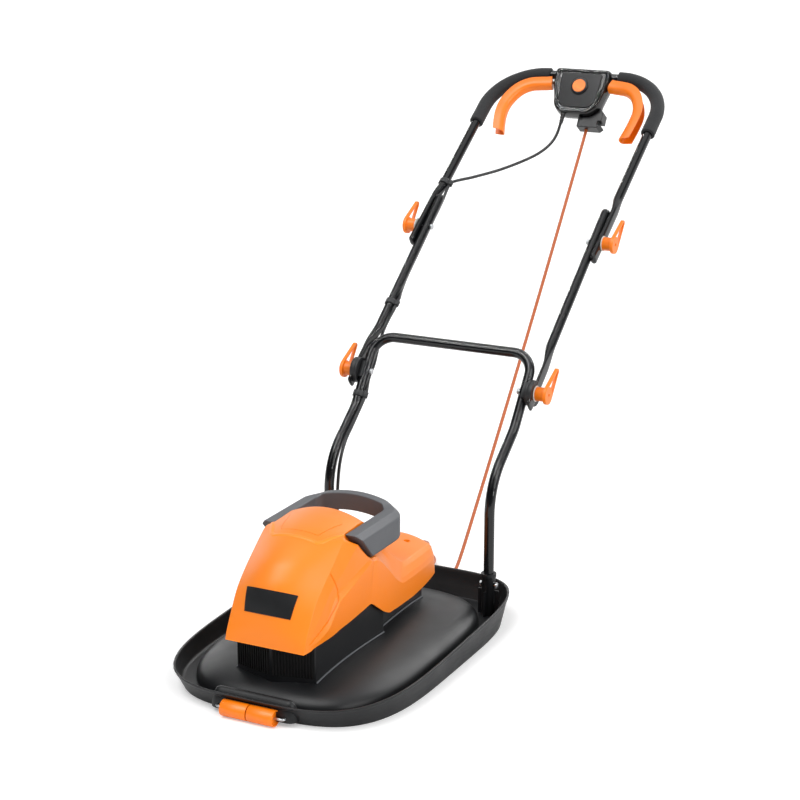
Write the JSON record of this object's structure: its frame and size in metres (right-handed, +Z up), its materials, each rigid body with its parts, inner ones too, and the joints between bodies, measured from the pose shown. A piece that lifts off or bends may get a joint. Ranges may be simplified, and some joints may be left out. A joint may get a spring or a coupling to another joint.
{
  "type": "hover mower",
  "caption": "Electric hover mower: floating hood with a motor under a cowl, spinning blade, front rollers, folding tube handle with wing knobs, switch box with bail levers and a wound cord.",
  "frame": {"origin": "on the ground, midway between the front of the rollers and the rear of the switch box, in the plane of symmetry of hood and handle", "axes": "+X to the right seen from the front, +Y to the rear where the user stands, +Z up"},
  "size_m": [0.4812, 1.5368, 0.9671],
  "materials": {
    "black_plastic": "moulded polypropylene, fine satin grain",
    "orange_plastic": "moulded, smooth satin gloss",
    "grey_plastic": "moulded, fine grain",
    "black_tube": "powder coated steel tube",
    "foam": "closed-cell foam sleeve",
    "steel": "zinc plated",
    "copper": "varnished windings",
    "carbon": "dark moulded",
    "pale_plastic": "natural nylon",
    "lead_rubber": "flexible sheath",
    "cord_rubber": "flexible sheath"
  },
  "bodies": {
    "deck": {"deck_hood": "black_plastic", "handle_sockets": "black_plastic", "socket_bolts": "steel", "motor_base": "black_plastic", "inlet_grille": "black_plastic", "motor_plate": "black_plastic", "cowl": "orange_plastic", "name_panel": "black_plastic", "carry_handle": "grey_plastic", "cowl_screws": "steel", "motor_can": "steel", "motor_field": "copper", "motor_bearings": "steel", "motor_brushes": "carbon", "motor_screws": "steel", "suppressor": "pale_plastic", "terminal_block": "pale_plastic", "roller_axle": "steel", "lower_handle": "black_tube", "ratchet_saddles": "black_plastic", "lower_bolts": "steel", "clip_lower": "black_plastic", "motor_lead_lower": "lead_rubber", "mains_cord": "cord_rubber", "mains_coil": "cord_rubber", "cord_tie": "carbon", "mains_plug": "orange_plastic"},
    "spindle": {"motor_shaft": "steel", "armature": "copper", "impeller": "black_plastic", "blade_spacers": "steel", "blade": "steel", "blade_bolt": "steel"},
    "roller_left": {"roller_left": "orange_plastic"},
    "roller_right": {"roller_right": "orange_plastic"},
    "mid_handle": {"mid_tubes": "black_tube", "ratchet_discs": "black_plastic", "upper_bolts": "steel", "clamp_washers": "pale_plastic", "clip_middle": "black_plastic", "motor_lead_middle": "lead_rubber"},
    "upper_handle": {"upper_handle": "black_tube", "foam_grip_left": "foam", "foam_grip_right": "foam", "switch_box_front": "black_plastic", "switch_box_back": "black_plastic", "button_spring": "steel", "switch_module": "carbon", "box_screws": "steel", "cord_hook": "black_plastic", "clip_upper": "black_plastic", "motor_lead_upper": "lead_rubber"},
    "bail": {"lever_shaft": "steel", "bail_lever_left": "orange_plastic", "bail_lever_right": "orange_plastic"},
    "lock_button": {"lock_button": "orange_plastic"},
    "knob_lower_left": {"knob_lower_left": "orange_plastic"},
    "knob_lower_right": {"knob_lower_right": "orange_plastic"},
    "knob_upper_left": {"knob_upper_left": "orange_plastic"},
    "knob_upper_right": {"knob_upper_right": "orange_plastic"}
  },
  "joints": [
    {"name": "blade_spin", "type": "hinge", "parent": "deck", "child": "spindle", "pos_m": [0, -0.45144, 0], "axis": [0, 0, 1], "continuous": true},
    {"name": "roller_left_spin", "type": "hinge", "parent": "deck", "child": "roller_left", "pos_m": [0, -0.75344, 0.0154], "axis": [1, 0, 0], "continuous": true},
    {"name": "roller_right_spin", "type": "hinge", "parent": "deck", "child": "roller_right", "pos_m": [0, -0.75344, 0.0154], "axis": [1, 0, 0], "continuous": true},
    {"name": "handle_fold", "type": "hinge", "parent": "deck", "child": "mid_handle", "pos_m": [0, 0.01856, 0.4185], "axis": [1, 0, 0], "range_deg": [-15, 130], "deforming": ["mains_cord", "motor_lead_lower", "motor_lead_middle"]},
    {"name": "upper_fold", "type": "hinge", "parent": "mid_handle", "child": "upper_handle", "pos_m": [0, 0.32982, 0.66169], "axis": [1, 0, 0], "range_deg": [-150, 0], "deforming": ["mains_cord", "motor_lead_middle", "motor_lead_upper"]},
    {"name": "bail_squeeze", "type": "hinge", "parent": "upper_handle", "child": "bail", "pos_m": [0, 0.72949, 0.93071], "axis": [1, 0, 0], "range_deg": [-10, 0], "stiffness_Nm_per_rad": 3, "springref_deg": 5.73},
    {"name": "lock_press", "type": "slide", "parent": "upper_handle", "child": "lock_button", "axis": [0, 0.848, -0.5299], "range_m": [0, 0.005], "stiffness_N_per_m": 400, "springref_m": -0.002, "deforming": ["button_spring"]},
    {"name": "knob_lower_left_turn", "type": "hinge", "parent": "deck", "child": "knob_lower_left", "pos_m": [0, 0.01856, 0.4185], "axis": [1, 0, 0], "continuous": true},
    {"name": "knob_upper_left_turn", "type": "hinge", "parent": "mid_handle", "child": "knob_upper_left", "pos_m": [0, 0.32982, 0.66169], "axis": [1, 0, 0], "continuous": true},
    {"name": "knob_lower_right_turn", "type": "hinge", "parent": "deck", "child": "knob_lower_right", "pos_m": [0, 0.01856, 0.4185], "axis": [1, 0, 0], "continuous": true},
    {"name": "knob_upper_right_turn", "type": "hinge", "parent": "mid_handle", "child": "knob_upper_right", "pos_m": [0, 0.32982, 0.66169], "axis": [1, 0, 0], "continuous": true}
  ]
}
